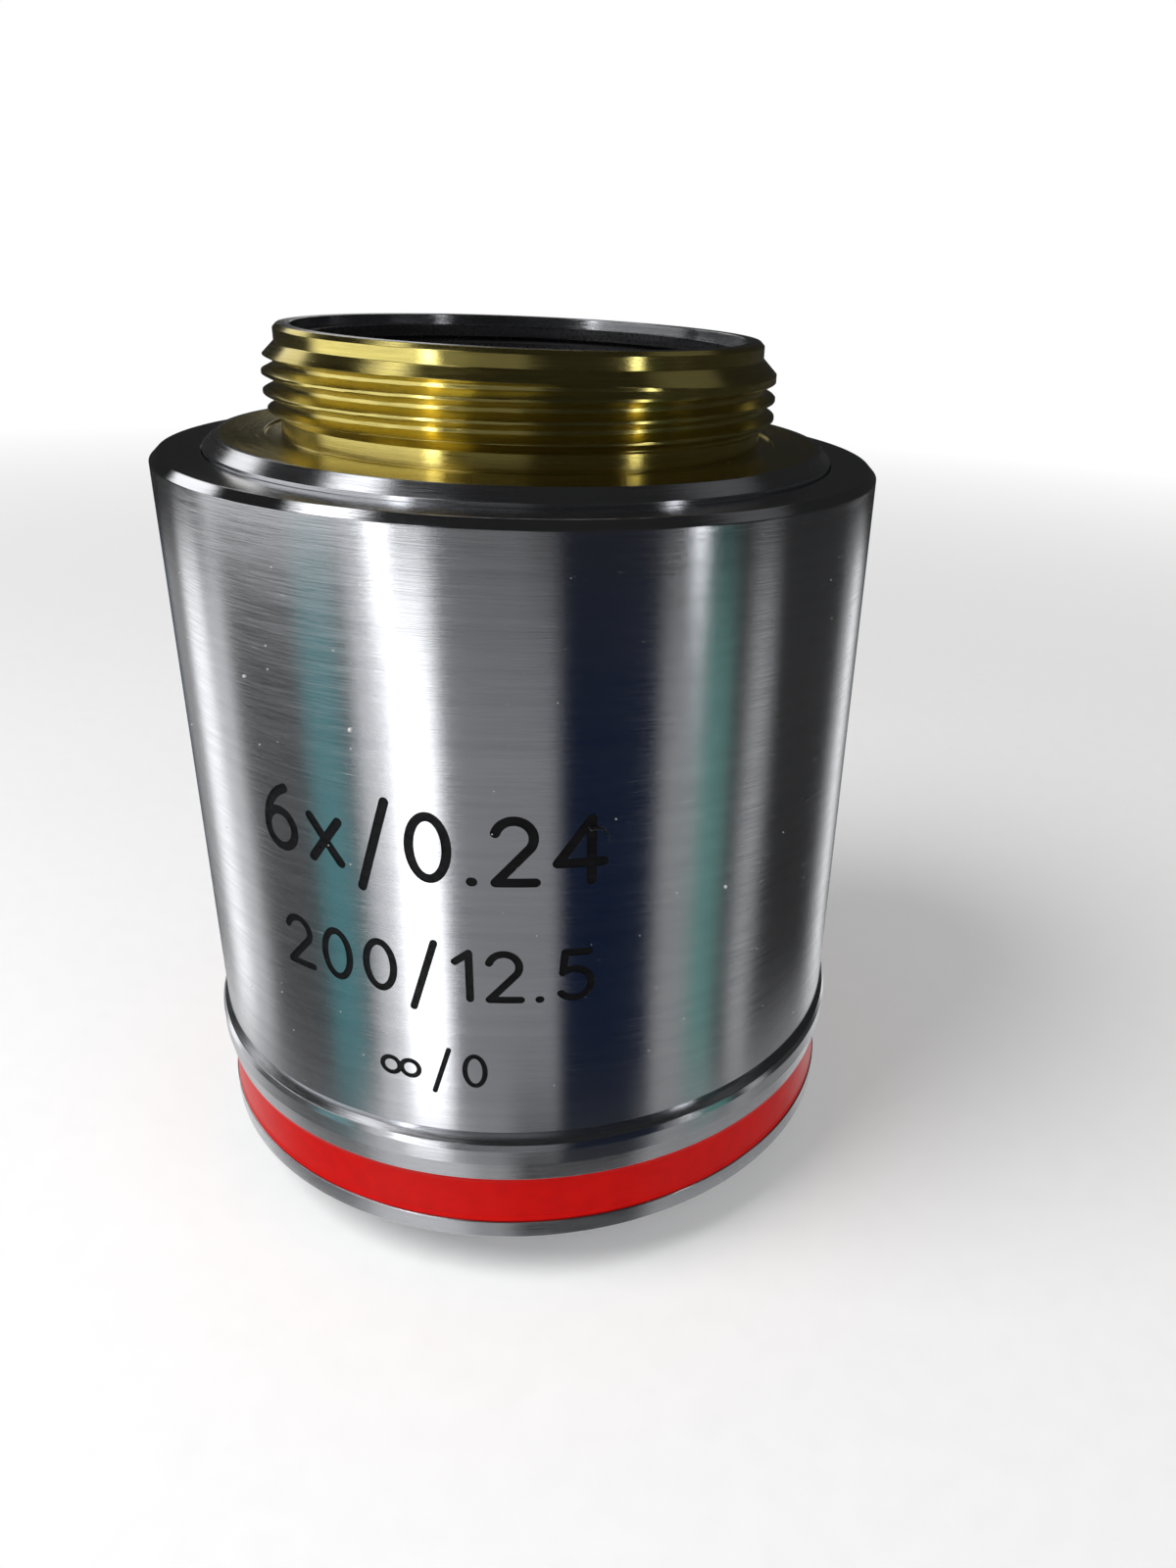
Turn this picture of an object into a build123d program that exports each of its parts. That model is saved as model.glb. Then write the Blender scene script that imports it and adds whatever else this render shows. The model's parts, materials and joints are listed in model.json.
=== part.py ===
"""Microscope objective standing nose down, threaded neck up, as an assembly of its turned parts and lenses.

Millimetres. The origin is the centre of the flat shoulder that seats against the nosepiece.
+Z runs up the optical axis towards the tube. Light comes in at the neck and leaves at the nose.
"""

import os
from math import copysign, cos, pi, radians, sin, sqrt, tan

from build123d import *

os.makedirs("parts", exist_ok=True)

# Fits
slip = 0.03                      # radial clearance of cells, sleeves and threads
cement = 0.01                    # cement layer between the two halves of a doublet
lens_bevel = 0.15                # ground safety bevel on every lens edge
edge_break = 0.1                 # small chamfer on turned edges

# Neck thread, 0.8 inch with 36 turns to the inch, 55 degree form
thread_radius = 10.16
thread_pitch = 25.4 / 36
thread_depth = 0.45
thread_flank_deg = 27.5
thread_turns = 3
crest_width = 0.1
relief_height = 0.75             # plain undercut between the shoulder and the first turn
pilot_step = 0.11                # plain lead and undercut below the thread root
pilot_length = 1.033             # plain lead above the last turn
pilot_chamfer = 0.15
neck_wall = 0.76                 # thread root to neck bore

# Shoulder flange
shoulder_bevel = 0.45
shoulder_thickness = 1.6
seat_clearance = 0.1             # the flat seat starts this far outside the thread crests
seat_relief = 0.08               # depth of the corner relief inside the seat
flange_height = 3.6              # depth of the land that the barrel sleeve hangs on

# Barrel sleeve
barrel_wall = 1.905              # wall around the flange
barrel_drop = 0.6                # top of the sleeve below the shoulder
barrel_chamfer = 0.3

# Walls from the thread of the rear retaining ring outwards
rear_cell_wall = 1.45            # thread of the ring to tube bore
tube_wall = 1.0
flange_step = 0.395              # flange outside the tube

# Nose ring with its colour band, heights from its foot up
ring_proud = 0.28                # cylinder of the ring outside the barrel
ring_taper = 0.16                # narrowing from the cylinder to the band
ring_joint_depth = 0.25          # depth of the groove at the joint with the sleeve
ring_joint_height = 0.5
ring_foot_height = 1.03
band_height = 2.31
ring_taper_height = 0.92
ring_land_height = 1.17
band_groove_depth = 0.42
band_sink = 0.06                 # enamel stands this far under the metal
ring_foot_chamfer = 0.25
ring_web = 1.18                  # floor of the ring, which clamps the front cell

# Snout, which reaches the working distance
snout_reach = 2.28               # front face below the foot of the ring
snout_step = 0.4                 # snout inside the tube bore
snout_chamfer = 0.5
snout_mouth_flare = 1.8
snout_lip_depth = 1.06           # front face below the last lens surface
snout_lip_land = 0.3

# Lenses
rear_lens_radius = 9.4
middle_lens_step = 0.8           # each group smaller in radius than the one above it
doublet_lens_step = 2.0
front_lens_step = 0.4
rear_crown_edge = 1.3264         # edge thickness of the biconvex crown
middle_flint_edge = 1.0046       # edge thickness outside a concave lower face
doublet_crown_edge = 0.9655
middle_hollow_step = 2.0         # width of the flat ring outside the concave face
doublet_hollow_step = 1.2
first_vertex = 2.6               # depth of the first surface below the shoulder
cell_gap = 1.0029                # air between the lock ring and the front cell

# Lens prescription, written for a rear lens of this radius and scaled to the real one
prescription_radius = 9.4
# Surfaces from the neck down: radius of curvature, positive where the centre lies below
prescription_curves = [25.857, -22.499, -333.152, 14.305, 10.713, 9.867, 15.29, 9.263, 13.231, 19.525, -383.262]
rear_flint_centre = 1.5
rear_air = 0.5
middle_crown_centre = 5.53
doublet_flint_centre = 1.3
doublet_air = 1.482
front_lens_centre = 2.2

# Cells, seats and rings
rear_seat_width = 1.0
rear_ring_seat_width = 0.8
middle_ring_seat_width = 0.8
doublet_ring_seat_width = 0.9
spacer_width = 1.0
front_seat_width = 0.7
middle_lip_step = 0.3            # lip opening outside the concave face
lip_thickness = 1.2
ring_height = 0.9                # height of each threaded retaining ring
ring_thread_step = 0.35          # extra radius of a retaining ring thread over its lens bore
ring_recess = 0.2                # how far each ring stands inside its cell
spanner_slot = 1.0
spanner_depth = 0.5
spanner_overrun = 1.0            # the slots run out past both walls of a ring
stop_width = 1.45                # how far the aperture stop covers the rear lens
stop_thickness = 0.2
shim_thickness = 0.2
shim_width = 1.37
cell_groove_depth = 0.47
cell_groove_height = 3.0
lock_ring_height = 1.8
lock_ring_width = 1.97
front_cell_head = 0.9            # front cell above its retaining ring
front_flange_height = 0.9
front_flange_clearance = 0.1

# Baffle tube in the neck
baffle_wall = 0.5
baffle_foot = 0.35
baffle_sink = 0.4                # top of the baffle tube below the neck rim
baffle_groove_depth = 0.2
baffle_groove_pitch = 0.6
baffle_groove_count = 7

# Centring screws
screw_radius = 1.0
screw_count = 3
screw_socket = 0.9
screw_socket_depth = 0.7
screw_sink = 0.08


def sag(curve, height):
    """Depth of a spherical surface at a height from the axis."""
    return curve - copysign(sqrt(curve * curve - height * height), curve)


# Thread and neck
thread_length = thread_turns * thread_pitch
thread_root_radius = thread_radius - thread_depth
pilot_radius = thread_root_radius - pilot_step
neck_bore_radius = thread_root_radius - neck_wall
neck_height = relief_height + thread_length + pilot_length
seat_inner_radius = thread_radius + seat_clearance
baffle_outer_radius = neck_bore_radius - slip
baffle_inner_radius = baffle_outer_radius - baffle_wall

# Walls from the rear lens outwards
rear_thread_radius = rear_lens_radius + ring_thread_step
tube_bore_radius = rear_thread_radius + rear_cell_wall
tube_radius = tube_bore_radius + tube_wall
flange_radius = tube_radius + flange_step
barrel_radius = flange_radius + barrel_wall
shoulder_radius = flange_radius - shoulder_bevel
cell_radius = tube_bore_radius - slip
ring_radius = barrel_radius + ring_proud
ring_lower_radius = ring_radius - ring_taper
snout_radius = tube_bore_radius - snout_step

# Lens rims and seats
middle_lens_radius = rear_lens_radius - middle_lens_step
doublet_lens_radius = middle_lens_radius - doublet_lens_step
front_lens_radius = doublet_lens_radius - front_lens_step
middle_hollow_radius = middle_lens_radius - middle_hollow_step
doublet_hollow_radius = doublet_lens_radius - doublet_hollow_step
rear_seat_radius = rear_lens_radius - rear_seat_width
rear_ring_seat_radius = rear_lens_radius - rear_ring_seat_width
stop_radius = rear_lens_radius - stop_width
middle_thread_radius = middle_lens_radius + ring_thread_step
middle_ring_seat_radius = middle_lens_radius - middle_ring_seat_width
middle_lip_radius = middle_hollow_radius + middle_lip_step
front_thread_radius = doublet_lens_radius + ring_thread_step
doublet_ring_seat_radius = doublet_lens_radius - doublet_ring_seat_width
spacer_seat_radius = doublet_lens_radius - spacer_width
front_seat_radius = front_lens_radius - front_seat_width
snout_mouth_radius = front_seat_radius + snout_mouth_flare

# Distances along the axis. Three elements take their centre thickness from their edge,
# and the front group hangs a fixed gap below the lock ring.
train_scale = rear_lens_radius / prescription_radius
curves = [curve * train_scale for curve in prescription_curves]
rear_rim = rear_lens_radius - lens_bevel
rear_crown_centre = rear_crown_edge + sag(curves[0], rear_rim) - sag(curves[1], rear_rim)
middle_hollow = sag(curves[5], middle_hollow_radius)
middle_flint_centre = middle_flint_edge + sag(curves[4], middle_lens_radius - lens_bevel) - middle_hollow
middle_air = middle_hollow + lip_thickness + lock_ring_height + cell_gap + front_cell_head
middle_air -= sag(curves[6], doublet_ring_seat_radius)
doublet_hollow = sag(curves[8], doublet_hollow_radius)
doublet_crown_centre = doublet_crown_edge + sag(curves[7], doublet_lens_radius - lens_bevel) - doublet_hollow
spacings = [
    rear_crown_centre,
    rear_flint_centre * train_scale,
    rear_air * train_scale,
    middle_crown_centre * train_scale,
    middle_flint_centre,
    middle_air,
    doublet_flint_centre * train_scale,
    doublet_crown_centre,
    doublet_air * train_scale,
    front_lens_centre * train_scale,
]
vertices = [-first_vertex]
for spacing in spacings:
    vertices.append(vertices[-1] - spacing)


def surface(index, height):
    """Z of a lens surface, counted from the neck down, at a height from the axis."""
    return vertices[index] - sag(curves[index], height)


def turned(points, mode=Mode.ADD):
    """One turned form: its half section as (radius, z) pairs, spun once about the axis."""
    with BuildSketch(Plane.XZ) as section:
        with BuildLine():
            Polyline(*points, close=True)
        make_face()
    revolve(section.sketch, axis=Axis.Z, mode=mode)


def ground_lens(top_index, bottom_index, rim, top_shift=0.0, hollow=None):
    """One lens element: two spherical faces, a ground cylinder and bevelled edges.

    A concave lower face may end at a smaller clear radius, with a flat ring outside it.
    """
    top_edge = rim - lens_bevel
    bottom_edge = hollow if hollow else rim - lens_bevel
    top_z = surface(top_index, top_edge) - top_shift
    bottom_z = surface(bottom_index, bottom_edge)
    with BuildSketch(Plane.XZ) as section:
        with BuildLine():
            ThreePointArc(
                (0, vertices[top_index] - top_shift),
                (top_edge / 2, surface(top_index, top_edge / 2) - top_shift),
                (top_edge, top_z),
            )
            Line((top_edge, top_z), (rim, top_z - lens_bevel))
            Line((rim, top_z - lens_bevel), (rim, bottom_z + lens_bevel))
            Line((rim, bottom_z + lens_bevel), (rim - lens_bevel, bottom_z))
            if hollow:
                Line((rim - lens_bevel, bottom_z), (bottom_edge, bottom_z))
            ThreePointArc(
                (bottom_edge, bottom_z),
                (bottom_edge / 2, surface(bottom_index, bottom_edge / 2)),
                (0, vertices[bottom_index]),
            )
            Line((0, vertices[bottom_index]), (0, vertices[top_index] - top_shift))
        make_face()
    revolve(section.sketch, axis=Axis.Z)


def radial_plane(angle, radius, z):
    """The plane square to a radius, facing outwards. The angle is in radians from the +X side."""
    outward = (cos(angle), sin(angle), 0)
    origin = (radius * outward[0], radius * outward[1], z)
    return Plane(origin, x_dir=(-sin(angle), cos(angle), 0), z_dir=outward)


def spanner_slots(z, inner, outer, depth):
    """Two slots across a threaded ring for the spanner. Positive depth cuts upwards."""
    with BuildSketch(Plane.XY.offset(z)) as slots:
        with PolarLocations((inner + outer) / 2, 2):
            Rectangle(outer - inner + spanner_overrun, spanner_slot)
    extrude(slots.sketch, amount=depth, mode=Mode.SUBTRACT)


# Heights of the lens stack, from the shoulder down
ceiling = -shoulder_thickness
baffle_foot_bottom = ceiling - baffle_foot
rear_cell_top = baffle_foot_bottom - shim_thickness
rear_seat = surface(0, rear_seat_radius)
rear_ring_top = surface(2, rear_ring_seat_radius)
rear_ring_bottom = rear_ring_top - ring_height
rear_cell_bottom = rear_ring_bottom - ring_recess
stop_bottom = rear_cell_bottom - stop_thickness
middle_ring_bottom = surface(3, middle_ring_seat_radius)
middle_ring_top = middle_ring_bottom + ring_height
middle_seat = surface(5, middle_hollow_radius)
middle_cell_bottom = middle_seat - lip_thickness
lock_ring_bottom = middle_cell_bottom - lock_ring_height
screw_height = (stop_bottom + middle_cell_bottom) / 2
doublet_ring_bottom = surface(6, doublet_ring_seat_radius)
front_cell_top = doublet_ring_bottom + front_cell_head
front_ring_top = front_cell_top - ring_recess
doublet_seat = surface(8, doublet_hollow_radius)
spacer_bottom = surface(9, spacer_seat_radius)
front_seat = surface(10, front_seat_radius)

# Heights of the outside, from the front face up
front_face = vertices[-1] - snout_lip_depth
ring_bottom = front_face + snout_reach
band_bottom = ring_bottom + ring_foot_height
band_top = band_bottom + band_height
ring_cylinder_end = band_top + ring_taper_height
barrel_bottom = ring_cylinder_end + ring_land_height
web_top = ring_bottom + ring_web
tube_end = web_top + front_flange_height


# Mount body: neck, thread, shoulder flange and inner tube turned from one brass bar.
# The thread has its true pitch and section as closed rings, without the helix.
with BuildPart() as mount_body:
    turned([
        (neck_bore_radius, neck_height),
        (pilot_radius - pilot_chamfer, neck_height),
        (pilot_radius, neck_height - pilot_chamfer),
        (pilot_radius, -seat_relief),
        (seat_inner_radius, -seat_relief),
        (seat_inner_radius, 0),
        (shoulder_radius, 0),
        (flange_radius, -shoulder_bevel),
        (flange_radius, -flange_height),
        (tube_radius, -flange_height),
        (tube_radius, tube_end + edge_break),
        (tube_radius - edge_break, tube_end),
        (tube_bore_radius, tube_end),
        (tube_bore_radius, ceiling),
        (neck_bore_radius, ceiling),
    ])
    turned([
        (neck_bore_radius, relief_height),
        (thread_root_radius, relief_height),
        (thread_root_radius, relief_height + thread_length),
        (neck_bore_radius, relief_height + thread_length),
    ])
    flank = thread_depth * tan(radians(thread_flank_deg))
    for turn in range(thread_turns):
        crest = relief_height + (turn + 0.5) * thread_pitch
        turned([
            (neck_bore_radius, crest - crest_width / 2 - flank),
            (thread_root_radius, crest - crest_width / 2 - flank),
            (thread_radius, crest - crest_width / 2),
            (thread_radius, crest + crest_width / 2),
            (thread_root_radius, crest + crest_width / 2 + flank),
            (neck_bore_radius, crest + crest_width / 2 + flank),
        ])
    for screw in range(screw_count):
        with BuildSketch(radial_plane(screw * 2 * pi / screw_count, 0, screw_height)) as screw_hole:
            Circle(screw_radius + slip)
        extrude(screw_hole.sketch, amount=flange_radius, mode=Mode.SUBTRACT)

# Baffle tube: blackened liner of the neck, with fine rings that kill stray light
with BuildPart() as rear_baffle_tube:
    baffle_top = neck_height - baffle_sink
    turned([
        (baffle_inner_radius, baffle_top),
        (baffle_outer_radius - edge_break, baffle_top),
        (baffle_outer_radius, baffle_top - edge_break),
        (baffle_outer_radius, ceiling),
        (cell_radius, ceiling),
        (cell_radius, baffle_foot_bottom),
        (baffle_inner_radius, baffle_foot_bottom),
    ])
    for groove in range(baffle_groove_count):
        groove_z = baffle_top - (groove + 1) * baffle_groove_pitch
        turned([
            (baffle_inner_radius - edge_break, groove_z + baffle_groove_depth),
            (baffle_inner_radius + baffle_groove_depth, groove_z),
            (baffle_inner_radius - edge_break, groove_z - baffle_groove_depth),
        ], mode=Mode.SUBTRACT)

# Parfocal shim: sets the distance from the shoulder to the lens stack
with BuildPart() as parfocal_shim:
    turned([
        (cell_radius - shim_width, baffle_foot_bottom),
        (cell_radius, baffle_foot_bottom),
        (cell_radius, rear_cell_top),
        (cell_radius - shim_width, rear_cell_top),
    ])

# Rear cell: the upper lip is the lens seat, the retaining ring screws in below
with BuildPart() as rear_cell:
    turned([
        (rear_seat_radius, rear_cell_top),
        (cell_radius - edge_break, rear_cell_top),
        (cell_radius, rear_cell_top - edge_break),
        (cell_radius, rear_cell_bottom + edge_break),
        (cell_radius - edge_break, rear_cell_bottom),
        (rear_thread_radius, rear_cell_bottom),
        (rear_thread_radius, rear_ring_top + ring_recess),
        (rear_lens_radius + slip, rear_ring_top + ring_recess),
        (rear_lens_radius + slip, rear_seat),
        (rear_seat_radius, rear_seat),
    ])

# Rear doublet, crown half above and flint half below
with BuildPart() as rear_doublet_crown:
    ground_lens(0, 1, rear_lens_radius)

with BuildPart() as rear_doublet_flint:
    ground_lens(1, 2, rear_lens_radius, top_shift=cement)

# Rear retaining ring
with BuildPart() as rear_retaining_ring:
    turned([
        (rear_ring_seat_radius, rear_ring_top),
        (rear_thread_radius - slip, rear_ring_top),
        (rear_thread_radius - slip, rear_ring_bottom),
        (rear_ring_seat_radius + edge_break, rear_ring_bottom),
        (rear_ring_seat_radius, rear_ring_bottom + edge_break),
    ])
    spanner_slots(rear_ring_bottom, rear_ring_seat_radius, rear_thread_radius, spanner_depth)

# Aperture stop: a thin black washer between the rear and the middle cell
with BuildPart() as aperture_stop:
    turned([
        (stop_radius, rear_cell_bottom),
        (cell_radius, rear_cell_bottom),
        (cell_radius, stop_bottom),
        (stop_radius + stop_thickness, stop_bottom),
    ])

# Middle cell: lens seat on the lower lip, retaining ring above, shallow groove for the centring screws
with BuildPart() as middle_cell:
    turned([
        (middle_thread_radius, stop_bottom),
        (cell_radius - edge_break, stop_bottom),
        (cell_radius, stop_bottom - edge_break),
        (cell_radius, screw_height + cell_groove_height / 2),
        (cell_radius - cell_groove_depth, screw_height + cell_groove_height / 2),
        (cell_radius - cell_groove_depth, screw_height - cell_groove_height / 2),
        (cell_radius, screw_height - cell_groove_height / 2),
        (cell_radius, middle_cell_bottom + edge_break),
        (cell_radius - edge_break, middle_cell_bottom),
        (middle_lip_radius + lip_thickness / 2, middle_cell_bottom),
        (middle_lip_radius, middle_seat - lip_thickness / 2),
        (middle_lip_radius, middle_seat),
        (middle_lens_radius + slip, middle_seat),
        (middle_lens_radius + slip, middle_ring_bottom - ring_recess),
        (middle_thread_radius, middle_ring_bottom - ring_recess),
    ])

# Middle doublet, a thick bent pair
with BuildPart() as middle_doublet_crown:
    ground_lens(3, 4, middle_lens_radius)

with BuildPart() as middle_doublet_flint:
    ground_lens(4, 5, middle_lens_radius, top_shift=cement, hollow=middle_hollow_radius)

# Middle retaining ring
with BuildPart() as middle_retaining_ring:
    turned([
        (middle_ring_seat_radius, middle_ring_bottom),
        (middle_thread_radius - slip, middle_ring_bottom),
        (middle_thread_radius - slip, middle_ring_top),
        (middle_ring_seat_radius + edge_break, middle_ring_top),
        (middle_ring_seat_radius, middle_ring_top - edge_break),
    ])
    spanner_slots(middle_ring_top, middle_ring_seat_radius, middle_thread_radius, -spanner_depth)

# Stack lock ring: screws into the tube and clamps both cells against the ceiling
with BuildPart() as stack_lock_ring:
    lock_ring_inner_radius = cell_radius - lock_ring_width
    turned([
        (lock_ring_inner_radius, middle_cell_bottom),
        (cell_radius, middle_cell_bottom),
        (cell_radius, lock_ring_bottom + edge_break),
        (cell_radius - edge_break, lock_ring_bottom),
        (lock_ring_inner_radius + edge_break, lock_ring_bottom),
        (lock_ring_inner_radius, lock_ring_bottom + edge_break),
    ])
    spanner_slots(lock_ring_bottom, lock_ring_inner_radius, cell_radius, spanner_depth)

# Front cell: tube part inside the body, a flange, and the snout with the front lens seat
with BuildPart() as front_cell:
    front_bore_step = spacer_bottom - edge_break
    front_flange_radius = tube_radius - front_flange_clearance
    turned([
        (front_thread_radius + edge_break, front_cell_top),
        (cell_radius - edge_break, front_cell_top),
        (cell_radius, front_cell_top - edge_break),
        (cell_radius, tube_end),
        (front_flange_radius, tube_end),
        (front_flange_radius, web_top),
        (snout_radius, web_top),
        (snout_radius, front_face + snout_chamfer),
        (snout_radius - snout_chamfer, front_face),
        (snout_mouth_radius, front_face),
        (front_seat_radius, front_seat - snout_lip_land),
        (front_seat_radius, front_seat),
        (front_lens_radius + slip, front_seat),
        (front_lens_radius + slip, front_bore_step),
        (doublet_lens_radius + slip, front_bore_step),
        (doublet_lens_radius + slip, doublet_ring_bottom - ring_recess),
        (front_thread_radius, doublet_ring_bottom - ring_recess),
        (front_thread_radius, front_cell_top - edge_break),
    ])

# Front doublet, flint half above
with BuildPart() as front_doublet_flint:
    ground_lens(6, 7, doublet_lens_radius)

with BuildPart() as front_doublet_crown:
    ground_lens(7, 8, doublet_lens_radius, top_shift=cement, hollow=doublet_hollow_radius)

# Spacer between the front doublet and the front lens
with BuildPart() as front_spacer:
    turned([
        (spacer_seat_radius, doublet_seat),
        (doublet_lens_radius, doublet_seat),
        (doublet_lens_radius, spacer_bottom),
        (spacer_seat_radius, spacer_bottom),
    ])

# Front lens
with BuildPart() as front_lens:
    ground_lens(9, 10, front_lens_radius)

# Front retaining ring: holds the doublet, spacer and front lens from above
with BuildPart() as front_retaining_ring:
    turned([
        (doublet_ring_seat_radius, doublet_ring_bottom),
        (front_thread_radius - slip, doublet_ring_bottom),
        (front_thread_radius - slip, front_ring_top),
        (doublet_ring_seat_radius + edge_break, front_ring_top),
        (doublet_ring_seat_radius, front_ring_top - edge_break),
    ])
    spanner_slots(front_ring_top, doublet_ring_seat_radius, front_thread_radius, -spanner_depth)

# Centring screws: three headless screws through the tube wall onto the middle cell
with BuildPart() as centring_screws:
    screw_tip = cell_radius - cell_groove_depth
    screw_end = tube_radius - screw_sink
    for screw in range(screw_count):
        screw_angle = screw * 2 * pi / screw_count
        with BuildSketch(radial_plane(screw_angle, screw_tip, screw_height)) as screw_section:
            Circle(screw_radius)
        extrude(screw_section.sketch, amount=screw_end - screw_tip)
        with BuildSketch(radial_plane(screw_angle, screw_end, screw_height)) as socket_section:
            RegularPolygon(screw_socket / 2, 6, major_radius=False)
        extrude(socket_section.sketch, amount=-screw_socket_depth, mode=Mode.SUBTRACT)

# Nose ring: screws onto the tube, clamps the sleeve above it and the front cell inside it
with BuildPart() as nose_ring:
    joint_flank = ring_joint_height / 2
    turned([
        (tube_radius + slip, barrel_bottom),
        (barrel_radius - ring_joint_depth, barrel_bottom),
        (ring_radius - edge_break, barrel_bottom - joint_flank),
        (ring_radius, barrel_bottom - ring_joint_height),
        (ring_radius, ring_cylinder_end),
        (ring_lower_radius, band_top),
        (ring_lower_radius - band_groove_depth, band_top),
        (ring_lower_radius - band_groove_depth, band_bottom),
        (ring_lower_radius, band_bottom),
        (ring_lower_radius, ring_bottom + ring_foot_chamfer),
        (ring_lower_radius - ring_foot_chamfer, ring_bottom),
        (snout_radius + slip + edge_break, ring_bottom),
        (snout_radius + slip, ring_bottom + edge_break),
        (snout_radius + slip, web_top),
        (tube_radius + slip, web_top),
    ])

# Colour band: red enamel filling the groove of the nose ring
with BuildPart() as colour_band:
    band_inner_radius = ring_lower_radius - band_groove_depth
    band_outer_radius = ring_lower_radius - band_sink
    turned([
        (band_inner_radius, band_top),
        (band_outer_radius, band_top),
        (band_outer_radius, band_bottom),
        (band_inner_radius, band_bottom),
    ])

# Barrel sleeve: the plated outer shell, hung on the flange and clamped by the nose ring
with BuildPart() as barrel_sleeve:
    turned([
        (flange_radius + slip, -barrel_drop),
        (barrel_radius - barrel_chamfer, -barrel_drop),
        (barrel_radius, -barrel_drop - barrel_chamfer),
        (barrel_radius, barrel_bottom + ring_joint_depth),
        (barrel_radius - ring_joint_depth, barrel_bottom),
        (tube_radius + slip, barrel_bottom),
        (tube_radius + slip, -flange_height),
        (flange_radius + slip, -flange_height),
    ])

for name, piece in (
    ("mount_body", mount_body),
    ("rear_baffle_tube", rear_baffle_tube),
    ("parfocal_shim", parfocal_shim),
    ("rear_cell", rear_cell),
    ("rear_doublet_crown", rear_doublet_crown),
    ("rear_doublet_flint", rear_doublet_flint),
    ("rear_retaining_ring", rear_retaining_ring),
    ("aperture_stop", aperture_stop),
    ("middle_cell", middle_cell),
    ("middle_doublet_crown", middle_doublet_crown),
    ("middle_doublet_flint", middle_doublet_flint),
    ("middle_retaining_ring", middle_retaining_ring),
    ("stack_lock_ring", stack_lock_ring),
    ("front_cell", front_cell),
    ("front_doublet_flint", front_doublet_flint),
    ("front_doublet_crown", front_doublet_crown),
    ("front_spacer", front_spacer),
    ("front_lens", front_lens),
    ("front_retaining_ring", front_retaining_ring),
    ("centring_screws", centring_screws),
    ("nose_ring", nose_ring),
    ("colour_band", colour_band),
    ("barrel_sleeve", barrel_sleeve),
):
    piece.part.label = name
    export_step(piece.part, "parts/" + name + ".step")
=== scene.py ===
"""Looks of the microscope objective: turned metal, screw thread, engraved numerals, dust, studio and camera.

Sizes are millimetres in the frame of the CAD model: +Z runs up the optical axis and -Y faces the camera.
"""

import json
import random
from math import acos, atan2, ceil, cos, degrees, hypot, pi, radians, sin, tan

import bpy
import numpy as np
from mathutils import Matrix, Vector
from mathutils.geometry import delaunay_2d_cdt


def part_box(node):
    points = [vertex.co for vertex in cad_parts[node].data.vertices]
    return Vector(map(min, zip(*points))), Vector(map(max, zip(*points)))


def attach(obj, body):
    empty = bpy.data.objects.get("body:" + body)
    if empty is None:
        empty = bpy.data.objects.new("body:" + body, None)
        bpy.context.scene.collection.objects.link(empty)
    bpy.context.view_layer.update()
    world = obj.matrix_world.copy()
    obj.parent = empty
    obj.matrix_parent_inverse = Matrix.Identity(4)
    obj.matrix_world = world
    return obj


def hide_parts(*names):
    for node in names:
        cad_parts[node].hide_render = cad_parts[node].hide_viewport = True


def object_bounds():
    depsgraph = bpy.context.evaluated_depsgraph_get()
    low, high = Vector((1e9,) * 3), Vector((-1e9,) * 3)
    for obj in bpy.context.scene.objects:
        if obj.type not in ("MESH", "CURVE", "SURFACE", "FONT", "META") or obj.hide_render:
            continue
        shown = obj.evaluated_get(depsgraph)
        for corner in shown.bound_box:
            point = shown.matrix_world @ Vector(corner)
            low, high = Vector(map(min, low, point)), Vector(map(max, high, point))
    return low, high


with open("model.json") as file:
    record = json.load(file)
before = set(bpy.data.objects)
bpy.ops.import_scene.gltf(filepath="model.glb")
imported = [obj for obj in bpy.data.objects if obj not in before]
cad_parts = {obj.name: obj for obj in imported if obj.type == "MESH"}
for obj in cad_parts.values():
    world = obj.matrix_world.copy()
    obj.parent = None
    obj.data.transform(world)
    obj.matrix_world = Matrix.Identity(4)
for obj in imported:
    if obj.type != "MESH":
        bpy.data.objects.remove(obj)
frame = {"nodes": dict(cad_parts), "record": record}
cad_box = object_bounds()
random.seed(7)

MM = 0.001
SEGMENTS = 360                   # columns of every turned piece
FRONT = 3 * SEGMENTS // 4        # the column that faces -Y
ROUNDING_STEPS = 3
TOLERANCE = 1e-6
UP = (0, 0, 1)

# Sizes read from the frame
barrel_low, barrel_high = (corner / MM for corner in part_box("barrel_sleeve"))
body_low, body_high = (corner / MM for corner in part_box("mount_body"))
ring_low, ring_high = (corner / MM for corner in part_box("nose_ring"))
band_low, band_high = (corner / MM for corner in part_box("colour_band"))
floor_z = cad_box[0].z / MM

# Neck and thread
thread_radius = 10.16
thread_pitch = 25.4 / 36
thread_depth = 0.45
thread_flank = radians(27.5)
crest_land = 0.1
first_crest = 1.108              # height of a crest on the +X side
thread_fade = (1.69, 1.9)        # turns over which the cutter leaves the work, counted from the first crest
lead_cone = (2.72, 3.28)         # heights between which the blank narrows to the lead
undercut_cone = (0.6, 0.95)      # heights between which the undercut widens to the blank
thread_row = 0.02                # height of one row of faces
thread_margin = 0.04             # the rows start and end this far beyond the cones
crest_waves = ((0.006, 9, 2), (0.004, 31, 5))  # depth, waves round the neck, radians per millimetre up
pilot_radius = 9.6
neck_bore_radius = 8.95
pilot_chamfer = 0.15
shoulder_bevel = 0.45
seat_inner_radius = 10.26
seat_relief = 0.08
ceiling = -1.6
flange_bottom = -3.6
tube_radius = 12.2
tube_bore_radius = 11.2

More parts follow.
